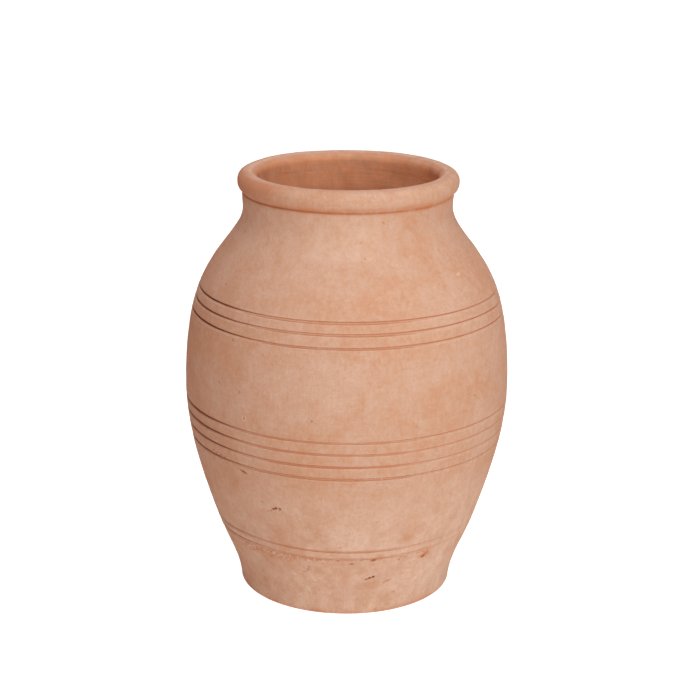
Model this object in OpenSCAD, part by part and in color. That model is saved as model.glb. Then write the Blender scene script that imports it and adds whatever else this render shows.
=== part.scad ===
// A handleless terracotta floor jar, built up from clay rings luted together with slip.
// Millimetres, +Z up. The origin is the centre of the underside.

/* [Outline of the wall] */
// Radius of the underside
base_r = 132; // [124:1:136]
// Height of the ankle, where the wall starts to flare
ankle_z = 35; // [32:1:45]
// Radius of the ankle
ankle_r = 139.5; // [136:0.5:144]
// Height of a level in the middle of the flare
flare_z = 90; // [80:1:100]
// Radius of the jar at that level
flare_r = 162.2; // [156:0.2:168]
// Height of the widest part of the belly
belly_z = 260; // [250:1:270]
// Radius of the widest part of the belly
belly_r = 200; // [194:1:206]
// Height of a level in the upper belly, where the wall starts to close in
closing_z = 360; // [350:1:370]
// Radius of the jar at that level
closing_r = 189.8; // [186:0.2:193]
// Height of a level in the middle of the shoulder
shoulder_z = 420; // [414:1:426]
// Radius of the jar at that level
shoulder_r = 162.5; // [158:0.5:167]
// Height of the narrowest part of the neck
neck_z = 484; // [480:1:488]
// Radius of the narrowest part of the neck
neck_r = 126.3; // [124:0.1:128]

/* [Lip] */
// Thickness of the rolled lip, top to bottom
lip_d = 24.6; // [22:0.2:27]
// Distance of the lip's centre from the jar's axis
lip_centre_r = 122.3; // [120.5:0.1:124]
// Full height of the jar
jar_h = 525; // [523:1:530]

/* [Wall and base] */
// Thickness of the wall, square to its surface
wall_t = 18; // [15:0.5:20]
// Thickness of the base slab
slab_t = 20; // [18:1:24]
// Radius of the rounded edge under the base
base_edge_r = 4; // [1:0.5:4.5]
// Height and width of the coil in the inside corner
fillet_h = 20; // [12:1:24]
// Thickness of that coil at its two edges
fillet_edge_t = 1; // [0.8:0.1:2]

/* [Seams between the rings] */
// Thickness of the slip in a seam
slip_t = 1; // [0.5:0.1:1.5]
// Height of the tongue on a ring's upper edge
tongue_h = 5; // [2:0.5:7]
// Width of the tongue at its root
tongue_w = 10; // [6:0.5:11]
// Height of the seam between foot and lower belly
foot_seam_z = 85; // [82:0.5:88]
// Height of the seam between lower and upper belly
belly_seam_z = 199; // [196:0.5:202]
// Height of the seam between upper belly and shoulder
shoulder_seam_z = 357; // [354:0.5:360]
// Height of the seam between shoulder and neck
neck_seam_z = 445; // [438:1:450]
// Height of the seam under the lip
lip_seam_z = 502; // [500:0.5:504]

/* [Incised lines] */
// Width of a line at the surface
groove_w = 3.2; // [2:0.2:4]
// Depth of a line
groove_depth = 1.4; // [0.6:0.1:2]
// Height of the upper group's top line above that group's seam
upper_group_h = 28; // [24:1:32]
// Height of the middle group's top line above that group's seam
middle_group_h = 47; // [42:1:52]
// Height of the lower group's top line above that group's seam
lower_group_h = 11; // [9:1:14]

/* [Hidden] */
$fn = 144;

CLAY = "#D4A07E";
SLIP = "#C98B62";

// Levels of the outline, from the ground up: height, radius, and slope as radius over height.
OUTLINE = [
    [0, base_r, 0.03],
    [ankle_z, ankle_r, 0.335],
    [flare_z, flare_r, 0.35],
    [belly_z, belly_r, 0],
    [closing_z, closing_r, -0.23],
    [shoulder_z, shoulder_r, -0.68],
    [neck_z, neck_r, 0],
    [jar_h, neck_r + 10, 0.45]
];
// Heights at which the outline gets a point
outline_step = 5;
// How far a cutter reaches past the surface it cuts
clear = 2;
// A line narrows to this share of its width at the bottom
groove_floor = 0.6;
// Steps along the rounded edge under the base, and along the hollow of the fillet coil
bend_steps = 8;

lip_r = lip_d / 2;
lip_z = jar_h - lip_r;

// Each group of lines has its lowest line on a seam. Places of the others are shares of the group's height.
GROOVES = concat(
    [for (share = [0, 1]) foot_seam_z + share * lower_group_h],
    [for (share = [0, 0.34, 0.68, 1]) belly_seam_z + share * middle_group_h],
    [for (share = [0, 0.54, 1]) shoulder_seam_z + share * upper_group_h]
);

// The stretch of the outline that holds height z
function stretch(z) = max([for (i = [0:len(OUTLINE) - 2]) if (OUTLINE[i][0] <= z || i == 0) i]);

// Radius of the outer surface at height z: a cubic between the two nearest levels
function outer_r(z) =
    let (a = OUTLINE[stretch(z)], b = OUTLINE[stretch(z) + 1], h = b[0] - a[0], t = (z - a[0]) / h)
    (2 * t ^ 3 - 3 * t ^ 2 + 1) * a[1] + (t ^ 3 - 2 * t ^ 2 + t) * h * a[2]
    + (3 * t ^ 2 - 2 * t ^ 3) * b[1] + (t ^ 3 - t ^ 2) * h * b[2];

// Slope of that cubic at height z
function outer_slope(z) =
    let (a = OUTLINE[stretch(z)], b = OUTLINE[stretch(z) + 1], h = b[0] - a[0], t = (z - a[0]) / h)
    (6 * t ^ 2 - 6 * t) * (a[1] - b[1]) / h + (3 * t ^ 2 - 4 * t + 1) * a[2] + (3 * t ^ 2 - 2 * t) * b[2];

// Radius of the inner surface at height z, one wall thickness in
function inner_r(z) = outer_r(z) - wall_t * sqrt(1 + outer_slope(z) ^ 2);

// The heights from low to high at which a ring's outline gets a point
function levels(low, high) = concat(
    [low],
    [for (z = [outline_step:outline_step:jar_h]) if (z > low + 0.01 && z < high - 0.01) z],
    [high]
);

function reversed(list) = [for (i = [len(list) - 1:-1:0]) list[i]];
function outer_line(low, high) = [for (z = levels(low, high)) [outer_r(z), z]];
function inner_line(low, high) = [for (z = levels(low, high)) [inner_r(z), z]];

// The tongue in a seam, from outside to inside. The seam on the base slab is flat and has none.
function tongue(z, rise = 0) =
    let (middle = (outer_r(z) + inner_r(z)) / 2, y = z + rise)
    z == slab_t ? [] : [[middle + tongue_w / 2, y], [middle, y + tongue_h], [middle - tongue_w / 2, y]];

// A seam's line through the wall from outside to inside, lifted by rise
function seam(z, rise = 0) =
    concat([[outer_r(z + rise), z + rise]], tongue(z, rise), [[inner_r(z + rise), z + rise]]);

// The section of every incised line, as cutters
module groove_sections() {
    for (z = GROOVES) {
        bottom_r = outer_r(z) - groove_depth;
        polygon([
            [bottom_r, z - groove_floor * groove_w / 2],
            [bottom_r + groove_depth + clear, z - groove_w / 2],
            [bottom_r + groove_depth + clear, z + groove_w / 2],
            [bottom_r, z + groove_floor * groove_w / 2]
        ]);
    }
}

// A turned ring of clay between two seams, standing on the slip of the lower one
module wall_ring(low_seam, high_seam) {
    low = low_seam + slip_t;
    rotate_extrude()
        difference() {
            polygon(concat(
                outer_line(low, high_seam),
                tongue(high_seam),
                reversed(inner_line(low, high_seam)),
                reversed(tongue(low_seam, slip_t))
            ));
            groove_sections();
        }
}

// The layer of slip in a seam
module slip_ring(z) {
    rotate_extrude()
        difference() {
            polygon(concat(seam(z), reversed(seam(z, slip_t))));
            groove_sections();
        }
}

module base_slab() {
    edge = [for (i = [0:bend_steps]) let (a = 90 * i / bend_steps)
        [base_r - base_edge_r * (1 - sin(a)), base_edge_r * (1 - cos(a))]];
    color(CLAY)
        rotate_extrude()
            polygon(concat([[0, 0]], edge, outer_line(outline_step, slab_t), [[0, slab_t]]));
}

// The coil lies against the wall and on the slab, and a bend drawn towards the corner hollows it.
module base_fillet_coil() {
    corner_r = inner_r(slab_t);
    top_z = slab_t + fillet_h;
    top = [inner_r(top_z) - fillet_edge_t, top_z];
    corner = [corner_r - fillet_edge_t, slab_t + fillet_edge_t];
    toe = [corner_r - fillet_h, slab_t + fillet_edge_t];
    hollow = [for (i = [0:bend_steps]) let (t = i / bend_steps)
        (1 - t) ^ 2 * top + 2 * t * (1 - t) * corner + t ^ 2 * toe];
    color(CLAY)
        rotate_extrude()
            polygon(concat(
                [[corner_r, slab_t]],
                inner_line(slab_t + slip_t, top_z),
                hollow,
                [[corner_r - fillet_h, slab_t]]
            ));
}

module foot_section() {
    color(CLAY) wall_ring(slab_t, foot_seam_z);
}

module lower_belly_section() {
    color(CLAY) wall_ring(foot_seam_z, belly_seam_z);
}

module upper_belly_section() {
    color(CLAY) wall_ring(belly_seam_z, shoulder_seam_z);
}

module shoulder_section() {
    color(CLAY) wall_ring(shoulder_seam_z, neck_seam_z);
}

module neck_section() {
    color(CLAY) wall_ring(neck_seam_z, lip_seam_z);
}

module rim_coil() {
    low = lip_seam_z + slip_t;
    inside = lip_centre_r - lip_r;
    color(CLAY)
        rotate_extrude()
            difference() {
                union() {
                    translate([lip_centre_r, lip_z]) circle(lip_r);
                    translate([inside, low]) square([outer_r(low) - inside, lip_z - low]);
                }
                translate([0, low - lip_r]) square([lip_centre_r + lip_d, lip_r]);
                polygon(tongue(lip_seam_z, slip_t));
            }
}

module slip(z) {
    color(SLIP) slip_ring(z);
}

base_slab();
slip(slab_t);  // slip_base
base_fillet_coil();
foot_section();
slip(foot_seam_z);  // slip_foot
lower_belly_section();
slip(belly_seam_z);  // slip_belly
upper_belly_section();
slip(shoulder_seam_z);  // slip_shoulder
shoulder_section();
slip(neck_seam_z);  // slip_neck
neck_section();
slip(lip_seam_z);  // slip_rim
rim_coil();
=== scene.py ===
import math

import bmesh
import bpy
import numpy as np
from mathutils import Matrix, Vector
from mathutils.bvhtree import BVHTree


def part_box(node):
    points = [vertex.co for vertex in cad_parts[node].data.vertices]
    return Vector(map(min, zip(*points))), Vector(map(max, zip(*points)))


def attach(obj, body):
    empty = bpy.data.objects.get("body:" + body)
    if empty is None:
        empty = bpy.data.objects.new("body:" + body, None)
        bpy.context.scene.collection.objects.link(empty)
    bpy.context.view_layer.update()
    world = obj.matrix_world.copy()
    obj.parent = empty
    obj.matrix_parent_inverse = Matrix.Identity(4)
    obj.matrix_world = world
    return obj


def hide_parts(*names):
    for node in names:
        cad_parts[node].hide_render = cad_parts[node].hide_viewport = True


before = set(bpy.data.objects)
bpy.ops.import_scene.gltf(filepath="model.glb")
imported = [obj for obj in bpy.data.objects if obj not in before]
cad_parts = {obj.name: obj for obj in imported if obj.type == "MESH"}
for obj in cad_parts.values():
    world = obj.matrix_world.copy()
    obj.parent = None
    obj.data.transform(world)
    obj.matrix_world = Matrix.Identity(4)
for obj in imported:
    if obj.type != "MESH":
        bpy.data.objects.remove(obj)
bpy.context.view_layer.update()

MM = 0.001
TURNS = 576  # vertices round the jar
rng = np.random.default_rng(7)


# ---------------------------------------------------------------------------
# The CAD model's outline, measured on its nodes
# ---------------------------------------------------------------------------

def tree_of(*names):
    """A search tree over the meshes of some CAD nodes."""
    points, faces = [], []
    for name in names:
        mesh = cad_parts[name].data
        start = len(points)
        points += [v.co.copy() for v in mesh.vertices]
        faces += [[start + i for i in p.vertices] for p in mesh.polygons]
    return BVHTree.FromPolygons(points, faces)


def radius_at(tree, z, inside):
    """The wall's radius at a height, found by a ray from beside the jar's axis or from far outside."""
    start_y, way = (-0.0001, -1) if inside else (-1, 1)
    hit = tree.ray_cast(Vector((0, start_y, z)), Vector((0, way, 0)))[0]
    return math.hypot(hit.x, hit.y)


SEAM = {name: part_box("slip_" + name)[0].z for name in ("base", "foot", "belly", "shoulder", "neck", "rim")}
SLIP_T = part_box("slip_base")[1].z - SEAM["base"]
WALL_NODES = ("foot_section", "lower_belly_section", "upper_belly_section", "shoulder_section",
              "neck_section")

# The incised lines: height, width, depth, strength of the two hairlines, bare clay shown, ragged edge
LINES = [
    (SEAM["foot"], 3.2 * MM, 1.4 * MM, 0.9, 0.5, 1.0),
    (SEAM["foot"] + 11 * MM, 3.0 * MM, 1.3 * MM, 0.9, 0.7, 0.2),
    (SEAM["belly"], 3.2 * MM, 1.5 * MM, 1.1, 0.7, 0.6),
    (SEAM["belly"] + 16 * MM, 3.2 * MM, 1.5 * MM, 0.8, 1.0, 0.2),
    (SEAM["belly"] + 32 * MM, 3.2 * MM, 1.5 * MM, 0.8, 1.0, 0.2),
    (SEAM["belly"] + 47 * MM, 3.0 * MM, 1.1 * MM, 1.1, 0.4, 0.1),
    (SEAM["shoulder"], 3.0 * MM, 1.5 * MM, 1.1, 0.6, 0.1),
    (SEAM["shoulder"] + 15 * MM, 3.0 * MM, 1.5 * MM, 1.1, 0.45, 0.1),
    (SEAM["shoulder"] + 28 * MM, 3.0 * MM, 1.5 * MM, 1.1, 0.45, 0.1),
]
LINE_HALF_CUT = 2.5 * MM  # a level this close to a line isn't measured

wall_tree = tree_of(*WALL_NODES, "base_slab")
LEVEL_STEP = 5 * MM
levels = [
    z for z in np.arange(LEVEL_STEP, SEAM["rim"], LEVEL_STEP)
    if min(abs(z - line[0]) for line in LINES) > LINE_HALF_CUT and abs(z - SEAM["base"]) > SLIP_T / 2
]
levels = np.array(levels + [SEAM["rim"] - 0.2 * MM])
outer_levels = np.array([radius_at(wall_tree, z, False) for z in levels])
inner_heights = levels[levels > SEAM["base"] + SLIP_T]
inner_levels = np.array([radius_at(wall_tree, z, True) for z in inner_heights])


def smooth_curve(z, at, values):
    """A smooth curve through measured values, with its slope: cubic pieces that share their slopes."""
    slopes = np.gradient(values, at)
    i = np.clip(np.searchsorted(at, z) - 1, 0, len(at) - 2)
    h = at[i + 1] - at[i]
    t = (z - at[i]) / h
    value = ((2 * t**3 - 3 * t**2 + 1) * values[i] + (t**3 - 2 * t**2 + t) * h * slopes[i]
             + (3 * t**2 - 2 * t**3) * values[i + 1] + (t**3 - t**2) * h * slopes[i + 1])
    slope = ((6 * t**2 - 6 * t) * (values[i] - values[i + 1]) / h
             + (3 * t**2 - 4 * t + 1) * slopes[i] + (3 * t**2 - 2 * t) * slopes[i + 1])
    return value, slope


# The lip: its CAD solid's width, top and inner face give the roll
JAR_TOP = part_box("rim_coil")[1].z
LIP_OUTER_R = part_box("rim_coil")[1].x
LIP_FOOT_Z = SEAM["rim"] + SLIP_T
MOUTH_DEPTH = 12 * MM  # the mouth is narrowest about this far under the top
LIP_INNER_R = radius_at(tree_of("rim_coil"), JAR_TOP - MOUTH_DEPTH, True)
LIP_HALF_W = (LIP_OUTER_R - LIP_INNER_R) / 2
LIP_CENTRE_R = LIP_INNER_R + LIP_HALF_W
LIP_Z = JAR_TOP - LIP_HALF_W

BASE_EDGE = 4 * MM
FLOOR_Z = SEAM["base"]


# ---------------------------------------------------------------------------
# The surface: how the hand-made wall strays from its outline
# ---------------------------------------------------------------------------

def value_noise(x, y, z, seed):
    """Smooth random values from -1 to 1, with one lattice cell per unit."""
    p = np.stack(np.broadcast_arrays(x, y, z), -1).astype(float)
    cell = np.floor(p).astype(np.int64)
    t = p - cell
    t = t * t * (3 - 2 * t)
    total = np.zeros(p.shape[:-1])
    for corner in np.ndindex(2, 2, 2):
        # the value at a corner of the cell is its place and the seed, hashed
        k = cell + corner
        h = (k[..., 0] * 73856093) ^ (k[..., 1] * 19349663) ^ (k[..., 2] * 83492791) ^ (seed * 2654435761)
        h = ((h ^ (h >> 13)) * 1274126177) & 0xFFFFFFFF
        h = ((h ^ (h >> 16)) * 2246822519) & 0xFFFFFFFF
        weight = np.prod(np.where(corner, t, 1 - t), -1)
        total += weight * (((h >> 8) & 0xFFFF) / 32767.5 - 1)
    return total


NOISE_R = 0.17  # noise round the jar has its stated size at this radius


def round_noise(angle, z, size, seed, stretch=1.0):
    """Noise on the jar's surface, in cells of a size, each stretch times as long as it is high."""
    x, y = NOISE_R * np.cos(angle), NOISE_R * np.sin(angle)
    return value_noise(x / (size * stretch), y / (size * stretch), z / size, seed)


def step(low, high, x):
    """0 below low, 1 above high, and smooth between."""
    t = np.clip((x - low) / (high - low), 0, 1)
    return t * t * (3 - 2 * t)


def span(x, low, high, edge):
    """1 from low to high, fading to 0 over edge outside them."""
    return step(low - edge, low, x) * (1 - step(high, high + edge, x))


def group_of(index):
    """The group that a line belongs to: 0 is the lower one."""
    return 0 if index < 2 else 1 if index < 6 else 2


def line_fade(angle, index):
    """How deep a line is cut round the jar. The two lowest lines nearly run out on the right."""
    depth = 0.85 + 0.15 * np.sin(2 * angle + 1.7 * index) * np.cos(angle - index)
    if index < 2:
        depth = depth * (1 - 0.75 * span(angle, math.radians(48), math.radians(100), math.radians(14)))
    return depth


# Where the lines of a group leave their level: group, middle and width in degrees, and height in mm
BENDS = [(0, -40, 20, 2.2), (1, 80, 13, -1.8), (2, 80, 13, -1.8)]


def line_sway(angle, index):
    """How far a line wanders up and down round the jar."""
    group = group_of(index)
    sway = 0.5 * np.sin(angle + 2.1 * group) + 0.2 * np.sin(2 * angle + index)
    sway += 0.12 * np.sin(5 * angle + 2.3 * index)
    for bent, middle, width, height in BENDS:
        if bent == group:
            sway += height * np.exp(-(((angle - math.radians(middle)) / math.radians(width)) ** 2))
    return sway * MM


def height_of(angle, u):
    """The height at which the level u of the outline lies at an angle, as the incised lines wander."""
    z = u.copy()
    for index, line in enumerate(LINES):
        z += line_sway(angle, index) * np.exp(-(((u - line[0]) / (8 * MM)) ** 2))
    sag = 2.4 * MM * step(-0.2, 0.7, np.cos(angle)) + 0.3 * MM * np.sin(3 * angle)
    return z - sag * np.exp(-(((u - SEAM["rim"]) / (12 * MM)) ** 2))


def mark(angle, height, length, width, depth, tilt=0.0, bare=0.0, dark=0.0, pale=0.0):
    """One small mark: its place in degrees and mm, its size in mm and degrees, and its tints."""
    return dict(angle=math.radians(angle), z=height * MM, a=length / 2 * MM, b=width / 2 * MM,
                depth=depth * MM, tilt=math.radians(tilt), bare=bare, dark=dark, pale=pale)


# The marks on the front, by the part of the jar that they are on
MARKS = [
    # lower belly: a row of pits with bare flecks round it, and a gouge under the middle lines
    mark(-27.9, 149.6, 2.0, 1.8, 0.9, 20, dark=1.0),
    mark(-26.8, 151.0, 3.2, 2.2, 1.2, 25, dark=1.0),
    mark(-25.0, 151.4, 2.4, 1.8, 0.9, -10, dark=0.9),
    mark(-25.3, 149.0, 1.6, 1.3, 0.5, 0, bare=1.0),
    mark(-29.0, 146.6, 2.4, 1.8, 0.4, 30, bare=0.9),
    mark(-30.4, 144.4, 2.2, 1.4, 0.3, 40, bare=0.7),
    mark(-32.5, 156.0, 3.4, 1.5, 0.3, -30, bare=0.7),
    mark(-38.9, 192.2, 7.6, 2.0, 0.9, -17, bare=1.0, dark=0.75),
    mark(-38.9, 193.8, 7.0, 1.3, -0.3, -17, pale=1.0),
    # the middle lines: pits above the lowest one
    mark(-54.3, 205.6, 1.6, 1.4, 0.7, dark=1.0),
    mark(-52.3, 204.2, 1.4, 1.2, 0.6, dark=1.0),
    mark(-49.8, 203.8, 1.8, 1.4, 0.8, dark=1.0),
    mark(-47.5, 203.0, 1.4, 1.2, 0.5, dark=0.8),
    # lower belly, further right
    mark(12.0, 139.0, 2.6, 1.2, 0.3, 20, bare=0.6),
    mark(43.0, 161.0, 2.0, 1.6, 0.3, bare=0.6),
    # upper belly
    mark(-38.6, 293.0, 1.6, 2.6, 0.4, bare=0.8),
    mark(-12.0, 250.5, 1.6, 1.2, 0.4, bare=0.6),
    mark(24.0, 262.0, 2.0, 1.6, 0.3, bare=0.6),
    mark(44.5, 268.0, 1.6, 1.4, 0.5, bare=0.8),
    # foot: a row of pits, gouges along the lowest line, and bare scratches
    mark(10.3, 52.6, 2.6, 1.6, 0.9, 20, dark=0.9),
    mark(11.8, 54.4, 2.6, 2.2, 1.0, 20, dark=1.0),
    mark(13.4, 55.8, 3.0, 2.0, 1.0, 25, dark=1.0),
    mark(3.0, 77.6, 3.4, 1.6, 0.8, -5, bare=0.6, dark=0.6),
    mark(12.4, 82.4, 5.0, 2.0, 0.9, 10, bare=1.0, dark=0.6),
    mark(37.4, 74.6, 5.0, 1.8, 0.9, 12, bare=1.0, dark=0.6),
    mark(38.0, 77.6, 9.0, 3.2, 0.6, 16, bare=1.0),
    mark(21.0, 47.0, 5.0, 1.8, 0.4, 15, bare=0.9),
    mark(19.4, 44.8, 2.0, 1.4, 0.4, bare=0.9),
    mark(16.8, 6.0, 2.2, 1.6, 0.5, bare=0.8),
    mark(-16.4, 69.0, 5.0, 1.2, 0.4, 80, bare=0.8),
    mark(-17.2, 64.4, 4.6, 1.2, 0.4, 60, bare=0.8),
    mark(-18.6, 62.0, 3.4, 1.2, 0.3, 20, bare=0.6),
    # shoulder: a pale fleck
    mark(53.6, 421.4, 6.0, 2.0, -0.1, 5, pale=1.0),
]
# A small ring left by a bubble on the upper belly, as pale specks round a bare middle
BUBBLE_ANGLE = -36.4
for turn in np.linspace(math.radians(150), math.radians(400), 6):
    MARKS.append(mark(
        BUBBLE_ANGLE + 0.75 * math.cos(turn), 262.6 + 2.6 * math.sin(turn), 2.6, 1.6,
        -0.25, math.degrees(turn) + 90, pale=1.0))
MARKS.append(mark(BUBBLE_ANGLE, 262.4, 3.0, 2.6, 0.25, bare=0.7))
# Scattered pits and flecks, the same all round
SCATTERED = 90
for _ in range(SCATTERED):
    kind = rng.random()
    MARKS.append(mark(
        rng.uniform(-175, 175), rng.uniform(8, 490), rng.uniform(1.0, 3.4), rng.uniform(0.8, 1.5),
        rng.uniform(0.15, 0.5), rng.uniform(-60, 60), bare=0.8 * (kind < 0.6), dark=0.7 * (kind > 0.85),
        pale=0.8 * (0.6 < kind < 0.85)))

# Tears under the lowest line: from and to in degrees, how far down and how deep in mm
TEARS = [
    (-54, -26, 15.0, 1.1),
    (-24, -8, 6.0, 0.7),
    (-6, 16, 3.5, 0.5),
    (24, 40, 6.0, 0.8),
    (130, 152, 7.0, 0.9),
    (-150, -128, 5.0, 0.8),
]


def outline_radius(z):
    """The plain radius of the outer wall at a height."""
    return smooth_curve(z, levels, outer_levels)[0]


def add_marks(angle, z, shift, bare, dark, pale):
    """Adds every mark to the shift and the tints, in place."""
    r = outline_radius(np.clip(z, levels[0], levels[-1]))
    for m in MARKS:
        near = np.abs(z - m["z"]) < 4 * max(m["a"], m["b"])
        near &= np.abs(angle - m["angle"]) * r < 4 * max(m["a"], m["b"])
        if not near.any():
            continue
        dx = (angle[near] - m["angle"]) * r[near]
        dz = z[near] - m["z"]
        along = dx * math.cos(m["tilt"]) + dz * math.sin(m["tilt"])
        across = dz * math.cos(m["tilt"]) - dx * math.sin(m["tilt"])
        uneven = 1 + 0.35 * value_noise(along / (0.8 * MM), across / (0.8 * MM), m["z"] * 999, 31)
        near_it = np.exp(-(((along / m["a"]) ** 2 + (across / m["b"]) ** 2) * uneven) ** 1.5)
        shift[near] -= m["depth"] * near_it
        tint = near_it**0.45
        bare[near] = np.maximum(bare[near], np.maximum(m["bare"], 0.8 * m["dark"]) * tint**0.5)
        dark[near] = np.maximum(dark[near], m["dark"] * tint)
        pale[near] = np.maximum(pale[near] * (1 - 0.8 * tint * (m["pale"] == 0)), m["pale"] * tint)


# On the jar's left the upper cut of a line is wider, and tinted darker as painted shade, by this much in
# each group
LEFT_WIDER = (0.2, 0.45, 0.2)
LEFT_PAINTED_SHADE = (0.6, 1.0, 0.85)


def add_lines(angle, u, shift, bare, dark, pale):
    """Cuts the incised lines: a shallow flat bed between two finer cuts, with a low burr outside them. On
    the jar's left the cuts are tinted darker as painted shade, and a pale tint along the burrs and the cut's
    lower edge is a painted highlight.
    """
    for index, (z, width, depth, hairs, clay, ragged) in enumerate(LINES):
        near = np.abs(u - z) < 3 * width
        if not near.any():
            continue
        a = angle[near]
        fade = line_fade(a, index)
        rag = ragged * round_noise(a, np.zeros_like(a), 3.0 * MM, 50 + index, 1.0)
        half = width / 2 * (1 + 0.12 * np.sin(3 * a + index) + 0.25 * rag)
        t = (u[near] - z) / half
        # the tool leaned on its upper corner most of the way round, and lay flat on a stretch in front
        flat = span(a, math.radians(-22 + 4 * math.cos(2 * index)), math.radians(12), math.radians(24))
        lean = 1 - flat * (0.9 + 0.1 * math.cos(index))
        bed = 1 - step(0.7, 1.1, np.abs(t))
        low_hair = np.exp(-(((t + 0.8) / 0.24) ** 2)) * (1.1 - 0.9 * lean)
        left = step(0.5, 0.92, -np.sin(a))
        spread = 0.24 + 0.22 * lean + LEFT_WIDER[group_of(index)] * left
        high_hair = np.exp(-(((t - 0.7) / spread) ** 2)) * (0.9 + 0.15 * lean + 0.5 * left)
        burr = np.exp(-(((t + 1.5) / 0.3) ** 2)) + 0.6 * np.exp(-(((t - 1.5) / 0.3) ** 2))
        cut = depth * (0.4 * bed + 0.6 * hairs * (low_hair + high_hair))
        shift[near] -= fade * (cut - 0.15 * MM * burr)
        hair = np.clip(low_hair + high_hair, 0, 1)
        bare[near] = np.maximum(bare[near], fade * np.maximum(clay * 0.8 * bed * (1 - 0.7 * lean), hair))
        # painted shade: the hairlines are tinted darker on the jar's left, the side away from the key light
        shade = 0.06 + LEFT_PAINTED_SHADE[group_of(index)] * left
        dark[near] = np.maximum(dark[near], shade * np.sqrt(fade) * hair)
        # painted highlight: the burrs and the cut's lower edge are tinted pale
        low_edge = np.exp(-(((t + 0.6) / 0.5) ** 2)) * lean
        pale[near] = np.maximum(pale[near], fade * np.clip(0.45 * burr + 0.6 * low_edge, 0, 1))


def add_tears(angle, u, shift, bare, dark, pale):
    """Roughens the clay that tore out under the lowest line."""
    line_z = LINES[0][0] - LINES[0][1] / 2
    for index, (start, end, reach, amount) in enumerate(TEARS):
        inside = span(angle, math.radians(start), math.radians(end), math.radians(3))
        under = line_z - u
        near = (inside > 0) & (under > -1.5 * MM) & (under < 1.6 * reach * MM)
        if not near.any():
            continue
        a, depth_under = angle[near], under[near]
        crumbs = round_noise(a, u[near], 2.6 * MM, 70 + index)
        crumbs = crumbs + 0.6 * round_noise(a, u[near], 1.2 * MM, 80 + index)
        ragged_reach = reach * MM * (0.6 + 0.5 * round_noise(a, np.zeros_like(a), 9 * MM, 90 + index))
        torn = inside[near] * step(-1.0 * MM, 0.6 * MM, depth_under)
        torn = torn * (1 - step(0.6, 1.1, depth_under / ragged_reach))
        torn = torn * step(-0.5, 0.3, crumbs)
        shift[near] -= amount * torn * (0.4 - 0.7 * crumbs) * MM
        bare[near] = np.maximum(bare[near], torn * step(0.9, 0.1, crumbs))
        dark[near] = np.maximum(dark[near], 0.4 * torn * step(0.1, -0.4, crumbs))
        pale[near] = np.maximum(pale[near], torn * step(0.2, 0.6, crumbs))


def turning_shift(angle, z):
    """How far the turned wall strays outward: slow waves, turning rings, and an uneven hand."""
    shift = (0.12 * np.cos(angle - 0.6 - 3 * z) + 0.3 * np.cos(2 * angle) * np.sin(9 * z)
             + 0.15 * np.cos(3 * angle - 2.0 * z + 2.2)) * MM
    shift += 0.16 * MM * value_noise(z / (11 * MM), 1.1 * np.cos(angle), 1.1 * np.sin(angle), 11)
    shift += 0.07 * MM * value_noise(z / (3.5 * MM), 1.6 * np.cos(angle), 1.6 * np.sin(angle), 12)
    shift += 0.12 * MM * round_noise(angle, z, 26 * MM, 13)
    shift += 0.05 * MM * round_noise(angle, z, 7 * MM, 14, 1.6)
    return shift


def add_creases(angle, u, z, shift, bare, dark):
    """Adds the hollow under the lowest line, the crease under the lip, and the fuller neck below that. The
    crease is tinted orange and darker as painted shade, most on the jar's left; under it lie patches of
    orange stain.
    """
    hollow = np.exp(-(((u - (SEAM["foot"] - 8 * MM)) / (2.2 * MM)) ** 2)) * line_fade(angle, 0)
    shift -= 0.5 * MM * hollow
    crease = np.exp(-(((u - SEAM["rim"]) / (1.3 * MM)) ** 2))
    shift -= 0.5 * MM * crease
    fuller = np.exp(-(((u - (SEAM["rim"] - 13 * MM)) / (13 * MM)) ** 2))
    shift += fuller * (1.1 - 0.6 * np.sin(angle)) * MM
    ragged = round_noise(angle, z, 14 * MM, 15) + 0.6 * round_noise(angle, z, 4 * MM, 16)
    below = np.exp(-(((u - SEAM["rim"]) / (2.6 * MM)) ** 2))
    patchy = np.clip(0.5 + 0.7 * round_noise(angle, 0 * z, 30 * MM, 17), 0.1, 1)
    # painted shade: the crease is tinted orange, more on the jar's left; the patches just below it are
    # orange stain
    orange_tint = (0.65 - 0.2 * np.sin(angle)) * crease + 0.6 * patchy * below * (1 + ragged)
    bare[:] = np.maximum(np.clip(orange_tint, 0, 0.95), 0.35 * hollow * np.clip(0.6 + ragged, 0, 1))
    # painted shade: the crease is tinted darker, most on the jar's left
    dark[:] = 0.22 * crease * (1 - 0.8 * np.sin(angle))


def bloom_and_light_at(angle, z):
    """How pale the clay is painted: bloom, most of it low down in front towards the lit right, where it is
    also painted light; and painted light on the left of the neck.
    """
    # bloom and painted light: paler low down in front, towards the lit right
    low_bloom_and_light = 0.8 * (1 - step(0.09, 0.22, z)) * np.clip(0.6 + 0.6 * np.cos(angle - 0.5), 0, 1)
    # painted light: the left of the neck is painted paler
    neck_painted_light = 0.32 * span(angle, math.radians(-80), math.radians(10), math.radians(20))
    neck_painted_light = neck_painted_light * span(z, SEAM["rim"] - 50 * MM, SEAM["rim"] - 6 * MM, 15 * MM)
    uneven = 0.75 + 0.6 * round_noise(angle, z, 40 * MM, 18) + 0.6 * round_noise(angle, z, 11 * MM, 19)
    return np.maximum(low_bloom_and_light, neck_painted_light) * np.clip(uneven, 0, 1.3)


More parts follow.
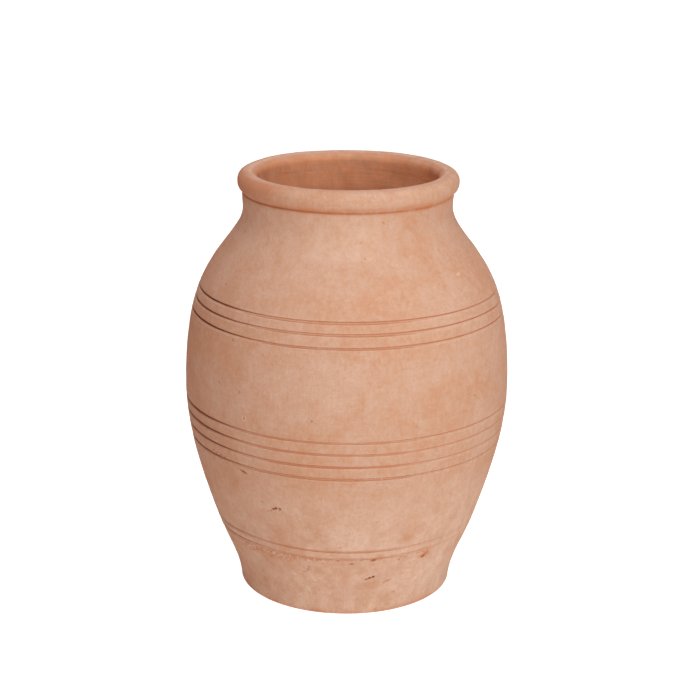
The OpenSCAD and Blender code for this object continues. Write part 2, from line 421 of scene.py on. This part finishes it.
def outer_surface(angle, u):
    """The outer wall at an angle and a level: radius, height, and the tints."""
    z = height_of(angle, u)
    r, slope = smooth_curve(z, levels, outer_levels)
    shift = turning_shift(angle, z)
    bare, dark, pale = np.zeros_like(z), np.zeros_like(z), np.zeros_like(z)
    add_creases(angle, u, z, shift, bare, dark)
    add_lines(angle, u, shift, bare, dark, pale)
    add_tears(angle, u, shift, bare, dark, pale)
    add_marks(angle, z, shift, bare, dark, pale)
    pale = np.maximum(pale, bloom_and_light_at(angle, z) * (1 - np.clip(bare + dark, 0, 1)))
    steep = np.sqrt(1 + slope**2)
    return r + shift / steep, z - shift * slope / steep, bare, dark, pale


def throat_wear(angle, z):
    """How bare the clay is inside the neck, in patches."""
    patchy = 0.5 + 0.6 * round_noise(angle, z, 22 * MM, 43) + 0.35 * round_noise(angle, z, 6 * MM, 44)
    return 0.4 * np.clip(patchy, 0, 1) * step(SEAM["rim"] - 60 * MM, SEAM["rim"] - 10 * MM, z)


def inner_surface(angle, u):
    """The inner wall: radius and height, with the spiral ridges that the potter's fingers left."""
    z = height_of(angle, u)
    r = smooth_curve(z, inner_heights, inner_levels)[0]
    ridges = np.sin(2 * math.pi * z / (15 * MM) + angle + 1.5 * round_noise(angle, z, 60 * MM, 21))
    fade = 1 - step(0.44, 0.49, z)
    throat = step(SEAM["rim"] - 30 * MM, SEAM["rim"], z)
    r = r * (1 - throat) + LIP_INNER_R * throat
    r = r + (0.1 + 0.65 * fade) * MM * ridges + 0.2 * MM * round_noise(angle, z, 12 * MM, 22, 2.0)
    return r, z


def tongue_rise(share):
    """How high the tongue in a seam is at a share of the way through the wall, from 0 to 1."""
    return np.clip(1 - np.abs(share - 0.5) / 0.28, 0, 1)


TONGUE_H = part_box("slip_foot")[1].z - SEAM["foot"] - SLIP_T


def wall_surface(angle, u, share, tongue=TONGUE_H):
    """A point of a wall ring: on the outside at share 0, the inside at 1, and in a seam between them."""
    r_out, z_out, bare, dark, pale = outer_surface(angle, u)
    r_in, z_in = inner_surface(angle, u)
    r = r_out * (1 - share) + r_in * share
    z = z_out * (1 - share) + z_in * share + tongue * tongue_rise(share)
    skin, lining = share == 0, share == 1
    return r, z, bare * skin + throat_wear(angle, z) * lining, dark * skin, pale * skin, lining * 1.0


# ---------------------------------------------------------------------------
# Making a piece's mesh
# ---------------------------------------------------------------------------

# Where the rows of the mesh lie across an incised line, in half widths from its middle
LINE_ROWS = (-2.2, -1.6, -1.3, -1.1, -0.95, -0.8, -0.6, -0.3, 0.3, 0.6, 0.8, 0.95, 1.1, 1.3, 1.6, 2.2)


def rows_between(low, high, spacing):
    """Levels from low to high, close together round each incised line."""
    near = [line[0] + k * line[1] / 2 for line in LINES for k in LINE_ROWS]
    near += [SEAM["rim"] - k * MM for k in (0.4, 0.8, 1.2, 1.8, 2.6)]
    near = [z for z in near if low + 0.1 * MM < z < high - 0.1 * MM]
    plain = [
        z for z in np.linspace(low, high, max(2, round((high - low) / spacing) + 1))
        if z in (low, high) or all(abs(z - n) > 0.6 * spacing for n in near)
    ]
    return sorted(plain + near)


def loop_faces(rows, closed):
    """Quads between rows of vertices round the jar. A closed loop joins the last row to the first."""
    row = np.arange(rows if closed else rows - 1)[:, None]
    column = np.arange(TURNS)[None, :]
    here, up = row * TURNS, ((row + 1) % rows) * TURNS
    right = (column + 1) % TURNS
    return np.stack([here + column, here + right, up + right, up + column], -1).reshape(-1, 4)


ANGLES = -math.pi + 2 * math.pi * np.arange(TURNS) / TURNS  # 0 faces the camera, and grows to the right
REFINE_CUTS = 3


def refine(mesh):
    """Splits the faces of the flat outline mesh near each mark, so that the mark has shape of its own."""
    bm = bmesh.new()
    bm.from_mesh(mesh)
    low = min(v.co.y for v in bm.verts)
    high = max(v.co.y for v in bm.verts)
    wanted = []
    for m in MARKS:
        angle, z, reach = m["angle"], m["z"], 2.2 * m["a"] + 0.8 * MM
        if low - reach < z < high + reach:
            r = float(outline_radius(np.array([max(z, levels[0])]))[0])
            wanted.append((angle - reach / r, angle + reach / r, z - reach, z + reach))
    edges = set()
    for face in bm.faces:
        if any(v.co.z != 0 for v in face.verts):
            continue
        x, y = face.calc_center_median()[:2]
        if any(a < x < b and c < y < d for a, b, c, d in wanted):
            edges.update(face.edges)
    if edges:
        bmesh.ops.subdivide_edges(bm, edges=list(edges), cuts=REFINE_CUTS, use_grid_fill=True)
    bm.to_mesh(mesh)
    bm.free()


CORNER = math.radians(60)


def finish_piece(name, mesh, surface, node, material, sharp=True):
    """Bends the flat outline mesh into place by its surface function, parents the piece to the root body,
    and hides its CAD node.

    The edges between its faces are sharp, or with sharp=False only those that bend by more than a corner.
    """
    flat = np.empty(len(mesh.vertices) * 3)
    mesh.vertices.foreach_get("co", flat)
    angle, u, share = flat.reshape(-1, 3).T
    r, z, bare, dark, pale, inside = surface(angle, u, share)
    place = np.stack([r * np.sin(angle), -r * np.cos(angle), z], -1)
    for label, values in (("bare", bare), ("dark", dark), ("pale", pale), ("inside", inside)):
        mesh.attributes.new(label, "FLOAT", "POINT").data.foreach_set("value", values.astype(np.float32))
    bm = bmesh.new()
    bm.from_mesh(mesh)
    bm.verts.ensure_lookup_table()
    skin = {}
    for face in bm.faces:
        shares = [v.co.z for v in face.verts]
        skin[face] = 0 if max(shares) == 0 else 1 if min(shares) == 1 else 2
        face.smooth = True
    for vertex, co in zip(bm.verts, place):
        vertex.co = co
    bm.normal_update()
    for edge in bm.edges:
        at_corner = len({skin[face] for face in edge.link_faces}) > 1
        if at_corner and (sharp or edge.calc_face_angle(0) > CORNER):
            edge.smooth = False
    if bm.calc_volume(signed=True) < 0:
        bmesh.ops.reverse_faces(bm, faces=bm.faces)
    bm.to_mesh(mesh)
    bm.free()
    mesh.materials.append(material)
    piece = bpy.data.objects.new(name, mesh)
    bpy.context.scene.collection.objects.link(piece)
    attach(piece, "root")
    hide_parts(node)
    return piece


def mesh_of_rows(name, rows, closed):
    """A mesh laid out flat: x is the angle, y the level and z the share of the way through the wall."""
    rows = np.array(rows)
    points = np.empty((len(rows), TURNS, 3))
    points[:, :, 0] = ANGLES[None, :]
    points[:, :, 1:] = rows[:, None, :]
    mesh = bpy.data.meshes.new(name)
    mesh.from_pydata(points.reshape(-1, 3).tolist(), [], loop_faces(len(rows), closed).tolist())
    return mesh


SEAM_SHARES = (0.03, 0.22, 0.36, 0.5, 0.64, 0.78, 0.97)


def wall_rows(low, high, spacing, inner_spacing):
    """The rows of a ring's closed section: up the outside, in along the top seam, down, and out again."""
    outside = [(z, 0.0) for z in rows_between(low, high, spacing)]
    inside = [(z, 1.0) for z in np.linspace(high, low, max(2, round((high - low) / inner_spacing) + 1))]
    return outside + [(high, s) for s in SEAM_SHARES] + inside + [(low, s) for s in reversed(SEAM_SHARES)]


INNER_SPACING = 6 * MM


def wall_ring(name, node, low, high, spacing, material, flat_base=False):
    """A ring of the wall between two levels. With flat_base it has no groove for a tongue underneath."""
    mesh = mesh_of_rows(name, wall_rows(low, high, spacing, INNER_SPACING), True)
    refine(mesh)

    def surface(angle, u, share):
        tongue = np.where(np.abs(u - low) < 0.1 * MM, 0, TONGUE_H) if flat_base else TONGUE_H
        return wall_surface(angle, u, share, tongue)

    return finish_piece(name, mesh, surface, node, material)


def slip_ring(name, seam, material):
    """The slip in a seam, flush with the wall on both sides."""
    low, high = SEAM[seam], SEAM[seam] + SLIP_T
    tongue = 0 if seam == "base" else TONGUE_H
    mesh = mesh_of_rows(name, wall_rows(low, high, SLIP_T / 2, SLIP_T / 2), True)

    def surface(angle, u, share):
        return wall_surface(angle, u, share, tongue)

    return finish_piece(name, mesh, surface, "slip_" + seam, material)


# ---------------------------------------------------------------------------
# Materials
# ---------------------------------------------------------------------------

class Shader:
    """A short way to write a material's node tree."""

    def __init__(self, name):
        self.material = bpy.data.materials.new(name)
        self.material.use_nodes = True
        self.tree = self.material.node_tree
        self.tree.nodes.clear()

    def node(self, kind, settings=None, **inputs):
        """Adds a node with some settings. Its inputs are given by name, with _ for a space."""
        made = self.tree.nodes.new("ShaderNode" + kind)
        for key, value in (settings or {}).items():
            setattr(made, key, value)
        for key, value in inputs.items():
            self.put(made.inputs[key.replace("_", " ")], value)
        return made

    def put(self, socket, value):
        """Sets an input to a number or a colour, or links it to another node's output."""
        if hasattr(value, "links"):
            self.tree.links.new(value, socket)
        else:
            socket.default_value = value

    def noise(self, place, scale, detail=4.0, roughness=0.55, stretch=(1, 1, 1), distortion=0.0):
        """Noise from 0 to 1, with scale cells in a metre."""
        spread = self.node("Mapping", Vector=place, Scale=stretch).outputs[0]
        return self.node("TexNoise", Vector=spread, Scale=scale, Detail=detail, Roughness=roughness,
                         Distortion=distortion).outputs["Fac"]

    def ramp(self, value, low, high, start=0.0, end=1.0):
        """Maps low to high onto start to end, smoothly."""
        return self.node("MapRange", {"interpolation_type": "SMOOTHSTEP"}, Value=value, From_Min=low,
                         From_Max=high, To_Min=start, To_Max=end).outputs[0]

    def maths(self, what, a, b):
        """A sum, product or the like of two values."""
        made = self.tree.nodes.new("ShaderNodeMath")
        made.operation = what
        self.put(made.inputs[0], a)
        self.put(made.inputs[1], b)
        return made.outputs[0]

    def total(self, *parts):
        """The sum of some values, each with its weight."""
        answer = None
        for value, weight in parts:
            part = self.maths("MULTIPLY", value, weight)
            answer = part if answer is None else self.maths("ADD", answer, part)
        return answer

    def mix(self, share, a, b):
        """Colour a where the share is 0, and b where it is 1."""
        made = self.tree.nodes.new("ShaderNodeMix")
        made.data_type = "RGBA"
        self.put(made.inputs[0], share)
        self.put(made.inputs[6], a)
        self.put(made.inputs[7], b)
        return made.outputs[2]

    def mix_value(self, share, a, b):
        """Value a where the share is 0, and b where it is 1."""
        made = self.tree.nodes.new("ShaderNodeMix")
        made.data_type = "FLOAT"
        self.put(made.inputs[0], share)
        self.put(made.inputs[2], a)
        self.put(made.inputs[3], b)
        return made.outputs[0]

    def field(self, name):
        """One of the values that the mesh carries at its points."""
        return self.node("Attribute", {"attribute_name": name}).outputs["Fac"]


def srgb(red, green, blue):
    """A colour as it looks on a screen, from 0 to 255, as the linear colour that a shader takes."""
    return tuple(c / 12.92 if c <= 0.04045 else ((c + 0.055) / 1.055) ** 2.4
                 for c in (red / 255, green / 255, blue / 255)) + (1.0,)


CLAY = srgb(214, 172, 145)
CLAY_PALE = srgb(220, 188, 166)
CLAY_ORANGE = srgb(210, 158, 125)
CLAY_BARE = srgb(205, 124, 76)
CLAY_DARK = srgb(98, 32, 6)
CLAY_SHADE = srgb(194, 142, 110)
CLAY_CHALK = srgb(232, 204, 182)
# the inside: more orange without bloom, and brighter than the outside as painted light in the shaded inside
CLAY_INSIDE_PAINTED_LIGHT = srgb(248, 180, 134)


def terracotta(name, bare_share):
    """Dry unglazed clay: pale bloom in clouds over warm clay, grain, rings, and the marks' tints, some of
    which are painted light and shade.
    """
    s = Shader(name)
    place = s.node("TexCoord").outputs["Object"]
    # noise from coarse to fine, runs down the wall, and rings round it
    clouds = s.noise(place, 13.0, 6.0, 0.62, distortion=0.5)
    patches = s.noise(place, 46.0, 6.0, 0.68, distortion=0.4)
    mottle = s.noise(place, 170.0, 5.0, 0.7)
    fine = s.noise(place, 420.0, 3.0, 0.7)
    grain = s.noise(place, 900.0, 2.0, 0.7)
    runs = s.noise(place, 300.0, 3.0, 0.6, stretch=(1, 1, 0.12))
    rings = s.noise(place, 7.0, 5.0, 0.7, stretch=(1, 1, 50))

    # the runs are on the outside only
    outside = s.maths("SUBTRACT", 1.0, s.field("inside"))
    runs = s.mix_value(outside, 0.5, runs)
    bloom = s.total((clouds, 1.0), (patches, 0.9), (mottle, 0.9), (fine, 0.6), (runs, 0.3), (rings, 0.25))
    colour = s.mix(s.ramp(bloom, 1.66, 2.06), CLAY_ORANGE, CLAY)
    colour = s.mix(s.ramp(bloom, 1.92, 2.36, 0.0, 0.9), colour, CLAY_PALE)
    colour = s.mix(s.ramp(grain, 0.5, 0.75, 0.0, 0.5), colour, CLAY_ORANGE)
    colour = s.mix(s.ramp(grain, 0.3, 0.48, 0.45, 0.0), colour, CLAY_PALE)
    colour = s.mix(s.ramp(fine, 0.46, 0.7, 0.0, 0.42), colour, CLAY_SHADE)
    # the inside gets its more orange colour, made brighter as painted light
    inside = s.maths("MULTIPLY", s.field("inside"), s.ramp(patches, 0.35, 0.65, 1.0, 0.6))
    colour = s.mix(inside, colour, CLAY_INSIDE_PAINTED_LIGHT)
    # bare: bare clay and stains, and painted shade in the crease and on the lip's left
    bare = s.maths("MULTIPLY", s.field("bare"), s.ramp(mottle, 0.25, 0.55, 0.7, 1.0))
    bare = s.maths("MAXIMUM", bare, bare_share)
    colour = s.mix(s.maths("MULTIPLY", bare, 0.9), colour, CLAY_BARE)
    # pale: bloom and chalk, with painted highlights on the burrs and the lip's inner edge, and painted light
    # low in front and on the neck's left
    pale = s.field("pale")
    powder = s.ramp(s.total((mottle, 0.6), (fine, 0.4)), 0.36, 0.62, 0.4, 0.95)
    colour = s.mix(s.maths("MULTIPLY", pale, powder), colour, CLAY_CHALK)
    # dark: pits, and painted shade in the lines on the jar's left and in the crease
    colour = s.mix(s.maths("MULTIPLY", s.field("dark"), 0.9), colour, CLAY_DARK)

    roughness = s.ramp(patches, 0.3, 0.7, 0.84, 0.97)
    height = s.total((grain, 0.5), (fine, 0.8), (mottle, 1.2), (rings, 1.2), (runs, 1.6))
    bump = s.node("Bump", Height=height, Strength=0.75, Distance=0.0005).outputs[0]
    shader = s.node("BsdfPrincipled", Base_Color=colour, Roughness=roughness, Normal=bump)
    shader.inputs["Specular IOR Level"].default_value = 0.25
    s.node("OutputMaterial", Surface=shader.outputs[0])
    return s.material


terracotta_clay = terracotta("terracotta_clay", 0.0)
slip_clay = terracotta("slip_clay", 0.35)


# ---------------------------------------------------------------------------
# The pieces
# ---------------------------------------------------------------------------

# The wall rings: node, seams below and above, spacing of the mesh's rows, and whether it stands on the slab
RINGS = [
    ("foot_section", "base", "foot", 1.5 * MM, True),
    ("lower_belly_section", "foot", "belly", 2.6 * MM, False),
    ("upper_belly_section", "belly", "shoulder", 4.0 * MM, False),
    ("shoulder_section", "shoulder", "neck", 2.2 * MM, False),
    ("neck_section", "neck", "rim", 1.5 * MM, False),
]
for node, below, above, spacing, on_slab in RINGS:
    wall_ring("clay_" + node, node, SEAM[below] + SLIP_T, SEAM[above], spacing,
              terracotta_clay, on_slab)

# These seams are smoothed over, so their slip has the wall's clay
SMOOTHED_SEAMS = ("base", "neck", "rim")
for seam in SEAM:
    slip_ring("luting_" + seam, seam, terracotta_clay if seam in SMOOTHED_SEAMS else slip_clay)


LIP_ROUND = 2.3  # over 2 squares the roll's section off a little
LIP_ROWS = 84
ROLL_SHARE = 0.85  # the part of the path that goes round the roll


def lip_path(v):
    """The roll's section for v from 0 to 1: from the crease over the top, and straight down inside."""
    start = -math.asin(min(1.0, ((LIP_Z - LIP_FOOT_Z) / LIP_HALF_W) ** (LIP_ROUND / 2)))
    turn = start + (math.pi - start) * np.clip(v / ROLL_SHARE, 0, 1)
    power = 2 / LIP_ROUND
    r = LIP_CENTRE_R + LIP_HALF_W * np.sign(np.cos(turn)) * np.abs(np.cos(turn)) ** power
    z = LIP_Z + LIP_HALF_W * np.sign(np.sin(turn)) * np.abs(np.sin(turn)) ** power
    z = z - (LIP_Z - LIP_FOOT_Z) * np.clip((v - ROLL_SHARE) / (1 - ROLL_SHARE), 0, 1)
    return r, z


def lip_normal(v):
    """The direction straight out of the roll's section, along the radius and up."""
    nearby = 1e-4
    r1, z1 = lip_path(np.clip(v - nearby, 0, 1))
    r2, z2 = lip_path(np.clip(v + nearby, 0, 1))
    length = np.hypot(r2 - r1, z2 - z1) + 1e-12
    return (z2 - z1) / length, -(r2 - r1) / length


def lip_surface(angle, u, share):
    """The lip: the roll at share 0 or 1, and its underside in the seam between."""
    in_seam = (share > 0) & (share < 1)
    v = np.where(in_seam, 0, u)
    r, z = lip_path(v)
    nr, nz = lip_normal(v)
    foot = np.full_like(angle, LIP_FOOT_Z)
    r_neck, z_neck, bare_foot = outer_surface(angle, foot)[:3]
    r_throat, z_throat = inner_surface(angle, foot)
    shift = (0.2 * np.sin(angle) + 0.12 * np.sin(2 * angle) + 0.12 * np.cos(5 * angle)) * MM
    shift += (0.5 * np.maximum(nz, 0) - 0.35 * np.maximum(nr, 0)) * MM
    uneven = 0.25 * MM * round_noise(angle, z, 30 * MM, 41)
    shift += uneven + 0.1 * MM * round_noise(angle, z, 8 * MM, 42, 1.5)
    r = r + shift * nr
    z = z + shift * nz
    # the roll runs into the neck at the crease and into the throat inside
    at_foot = 1 - step(0.0, 0.07, v)
    r = r * (1 - at_foot) + r_neck * at_foot
    z = z * (1 - at_foot) + z_neck * at_foot
    at_throat = step(0.93, 1.0, v)
    r = r * (1 - at_throat) + r_throat * at_throat
    z = z * (1 - at_throat) + z_throat * at_throat
    r = np.where(in_seam, r_neck * (1 - share) + r_throat * share, r)
    z = np.where(in_seam, z_neck * (1 - share) + z_throat * share + TONGUE_H * tongue_rise(share), z)
    patchy = 0.5 + 0.5 * round_noise(angle, z, 22 * MM, 43) + 0.3 * round_noise(angle, z, 6 * MM, 44)
    # under the lip by the crease it is orange in patches: partly stain, partly painted shade
    low_face_stain_and_shade = 0.35 * (1 - step(0.03, 0.12, v)) * np.clip(patchy, 0, 1)
    orange_tint = throat_wear(angle, z) * step(0.5, 0.66, v)
    # painted shade: the left of the lip's outer face is tinted orange, on the side away from the key light
    left_face_painted_shade = 0.6 * span(angle, math.radians(-100), math.radians(-48), math.radians(20))
    left_face_painted_shade = left_face_painted_shade * span(v, 0.1, 0.4, 0.1) * np.clip(0.5 + patchy, 0, 1)
    bare = np.maximum.reduce([bare_foot * at_foot, low_face_stain_and_shade, orange_tint, left_face_painted_shade]) * ~in_seam
    # a pale band just inside the lip's top: painted highlight along its inner edge, and paler worn clay
    pale = 0.75 * np.exp(-(((v - 0.57) / 0.045) ** 2)) * np.clip(patchy + 0.3, 0, 1) * ~in_seam
    none = np.zeros_like(bare)
    return r, z, np.clip(bare, 0, 1), none, pale, step(0.6, 0.8, v) * ~in_seam


lip_rows = [(v, 0.0) for v in np.linspace(0, 1, LIP_ROWS)] + [(1.0, s) for s in reversed(SEAM_SHARES)]
finish_piece("clay_rim_coil", mesh_of_rows("clay_rim_coil", lip_rows, True), lip_surface, "rim_coil",
             terracotta_clay)


# The base slab: its section runs out along the underside, round the edge, up the side and in along the top
SLAB_RINGS = 14
SIDE, UNDER, TOP, EDGE = 0.0, 2.0, 3.0, 4.0


def slab_path():
    """Rows of the slab's section: a share of its radius or a height, and the part that the row is on."""
    under = [(x, UNDER) for x in np.linspace(0.02, 1, SLAB_RINGS)]
    edge = [(BASE_EDGE * i / 6, EDGE) for i in range(1, 6)]
    side = [(z, SIDE) for z in np.linspace(BASE_EDGE + 1 * MM, FLOOR_Z, 12)]
    over = [(x, TOP) for x in np.linspace(0.98, 0.02, SLAB_RINGS)]
    return under + edge + side + over


def slab_surface(angle, u, part):
    """The slab: a level underside that only its outer ring rests on, a rounded edge, and a smoothed top."""
    side_u = np.where(part == SIDE, u, np.where(part == TOP, FLOOR_Z, levels[0]))
    r_side, z_side, bare, dark, pale = outer_surface(angle, side_u)
    flat_r = r_side - BASE_EDGE
    turn = np.where(part == EDGE, u / BASE_EDGE, 0) * math.pi / 2
    hollow = 0.8 * MM * (1 - step(0.75, 0.95, u))
    rough = 0.15 * MM * np.abs(value_noise(np.sin(angle) * u * 20, np.cos(angle) * u * 20, 0 * u, 61))
    places = [
        (UNDER, flat_r * u, hollow + rough * (u < 0.9)),
        (EDGE, flat_r + BASE_EDGE * np.sin(turn), BASE_EDGE * (1 - np.cos(turn))),
        (TOP, r_side * u, FLOOR_Z),
    ]
    r, z = r_side, z_side
    for place, place_r, place_z in places:
        r = np.where(part == place, place_r, r)
        z = np.where(part == place, place_z, z)
    on_side = (part == SIDE) | (part == EDGE)
    # the lowest few millimetres are tinted orange-brown, in patches
    foot_edge_tint = np.clip(0.6 + 0.5 * round_noise(angle, 0 * z, 18 * MM, 62), 0, 1)
    foot_edge_tint = (1 - step(3 * MM, 7 * MM, z)) * foot_edge_tint
    bare = np.maximum(bare, 0.8 * foot_edge_tint)
    return r, z, bare * on_side, dark * on_side, pale * on_side, (part == TOP) * 1.0


def capped(mesh):
    """Closes the two round ends of an open section with a face each."""
    bm = bmesh.new()
    bm.from_mesh(mesh)
    bmesh.ops.holes_fill(bm, edges=[e for e in bm.edges if e.is_boundary], sides=0)
    bm.to_mesh(mesh)
    bm.free()
    return mesh


finish_piece("clay_base_slab", capped(mesh_of_rows("clay_base_slab", slab_path(), False)), slab_surface,
             "base_slab", terracotta_clay, sharp=False)

# The fillet coil: pressed against the wall and smoothed towards the floor
COIL_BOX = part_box("base_fillet_coil")
COIL_H = COIL_BOX[1].z - COIL_BOX[0].z
COIL_EDGE = 1 * MM


def coil_surface(angle, u, share):
    """The coil: share 1 is against the wall, share 0 is its hollow face, and share 0.5 is on the slab."""
    wall_foot = FLOOR_Z + SLIP_T
    wall_r, wall_z = inner_surface(angle, wall_foot + u * (COIL_H - SLIP_T))
    top_r = inner_surface(angle, np.full_like(angle, FLOOR_Z + COIL_H))[0] - COIL_EDGE
    corner_r = inner_surface(angle, np.full_like(angle, wall_foot))[0]
    t = 1 - u
    face_r = (1 - t) ** 2 * top_r + 2 * t * (1 - t) * (corner_r - COIL_EDGE) + t**2 * (corner_r - COIL_H)
    face_z = FLOOR_Z + COIL_EDGE + (COIL_H - COIL_EDGE) * (1 - t) ** 2
    thumb = 0.35 * MM * np.sin(math.pi * u) * round_noise(angle, face_z, 16 * MM, 65)
    r = np.where(share == 1, wall_r, np.where(share == 0, face_r + thumb, corner_r - u * COIL_H))
    z = np.where(share == 1, wall_z, np.where(share == 0, face_z, FLOOR_Z))
    none = np.zeros_like(r)
    return r, z, none, none, none, none + 1


coil_rows = ([(x, 0.0) for x in np.linspace(1, 0, 14)] + [(x, 0.5) for x in np.linspace(1, 0, 4)]
             + [(x, 1.0) for x in np.linspace(0, 1, 8)])
finish_piece("clay_base_fillet", mesh_of_rows("clay_base_fillet", coil_rows, True), coil_surface,
             "base_fillet_coil", terracotta_clay)


# ---------------------------------------------------------------------------
# Floor, light and camera
# ---------------------------------------------------------------------------

FLOOR_SEEN = (1.05, 1.05, 1.05, 1)
FLOOR_BOUNCE = (0.40, 0.315, 0.262, 1)


def floor():
    """A floor that is plain white to the camera, and sends a softer, warmer light up at the jar."""
    bpy.ops.mesh.primitive_plane_add(size=30)
    plane = bpy.context.object
    plane.name = "studio_floor"
    s = Shader("studio_floor_paint")
    seen = s.node("LightPath").outputs["Is Camera Ray"]
    glow = s.node("Emission", Color=s.mix(seen, FLOOR_BOUNCE, FLOOR_SEEN))
    paint = s.node("BsdfDiffuse", Color=(0.5, 0.5, 0.5, 1))
    both = s.tree.nodes.new("ShaderNodeAddShader")
    s.put(both.inputs[0], paint.outputs[0])
    s.put(both.inputs[1], glow.outputs[0])
    s.node("OutputMaterial", Surface=both.outputs[0])
    plane.data.materials.append(s.material)


JAR_MIDDLE = Vector((0, 0, 0.27))
LIGHT_DISTANCE = 2.6
COOL = (0.93, 1.0, 1.01)


def area_light(name, azimuth, elevation, size, watts, colour=(1, 1, 1)):
    """A square soft light that faces the jar's middle. Azimuth 0 is the camera's side, and 90 the right."""
    data = bpy.data.lights.new(name, "AREA")
    data.size = size
    data.energy = watts
    data.color = colour
    light = bpy.data.objects.new(name, data)
    a, e = math.radians(azimuth), math.radians(elevation)
    away = Vector((math.sin(a) * math.cos(e), -math.cos(a) * math.cos(e), math.sin(e)))
    light.location = JAR_MIDDLE + away * LIGHT_DISTANCE
    light.rotation_mode = "QUATERNION"
    light.rotation_quaternion = away.to_track_quat("Z", "Y")
    light.visible_camera = False
    bpy.context.scene.collection.objects.link(light)


SKY_SEEN = (1, 1, 1, 1)
SKY_FILL = (0.14, 0.03, 0.012, 1)


def background(nodes, colour, strength):
    """An even light of one colour from all round."""
    made = nodes.new("ShaderNodeBackground")
    made.inputs["Color"].default_value = colour
    made.inputs["Strength"].default_value = strength
    return made.outputs[0]


def studio():
    """Surroundings that are plain white to the camera, and fill the jar's shadows with a little warmth."""
    world = bpy.data.worlds.new("studio")
    bpy.context.scene.world = world
    world.use_nodes = True
    nodes, links = world.node_tree.nodes, world.node_tree.links
    nodes.clear()
    seen = background(nodes, SKY_SEEN, 1.1)
    fill = background(nodes, SKY_FILL, 1.0)
    path = nodes.new("ShaderNodeLightPath")
    choose = nodes.new("ShaderNodeMixShader")
    out = nodes.new("ShaderNodeOutputWorld")
    links.new(path.outputs["Is Camera Ray"], choose.inputs[0])
    links.new(fill, choose.inputs[1])
    links.new(seen, choose.inputs[2])
    links.new(choose.outputs[0], out.inputs[0])


floor()
area_light("key", 38, 10, 1.6, 22.5, COOL)
area_light("front", 0, 2, 1.6, 17.5, COOL)
area_light("high_front", 0, 60, 1.6, 17.5, COOL)
area_light("side", 110, 10, 1.6, 6)
area_light("top", -16, 84, 2.4, 30)
area_light("back", 175, 20, 1.6, 9)
studio()
bpy.context.scene.view_settings.view_transform = "Standard"

CAMERA_BACK = 2.184
CAMERA_UP = 0.968
CAMERA_DOWN = math.radians(16.88)
CAMERA_TURN = math.radians(0.09)
CAMERA_ROLL = math.radians(0.5)
CAMERA_LENS = 96.2
camera_data = bpy.data.cameras.new("camera")
camera_data.lens = CAMERA_LENS
camera_data.sensor_width = 36
camera = bpy.data.objects.new("camera", camera_data)
camera.matrix_world = (
    Matrix.Translation((0, -CAMERA_BACK, CAMERA_UP)) @ Matrix.Rotation(CAMERA_TURN, 4, "Z")
    @ Matrix.Rotation(math.pi / 2 - CAMERA_DOWN, 4, "X") @ Matrix.Rotation(CAMERA_ROLL, 4, "Z")
)
bpy.context.scene.collection.objects.link(camera)
bpy.context.scene.camera = camera
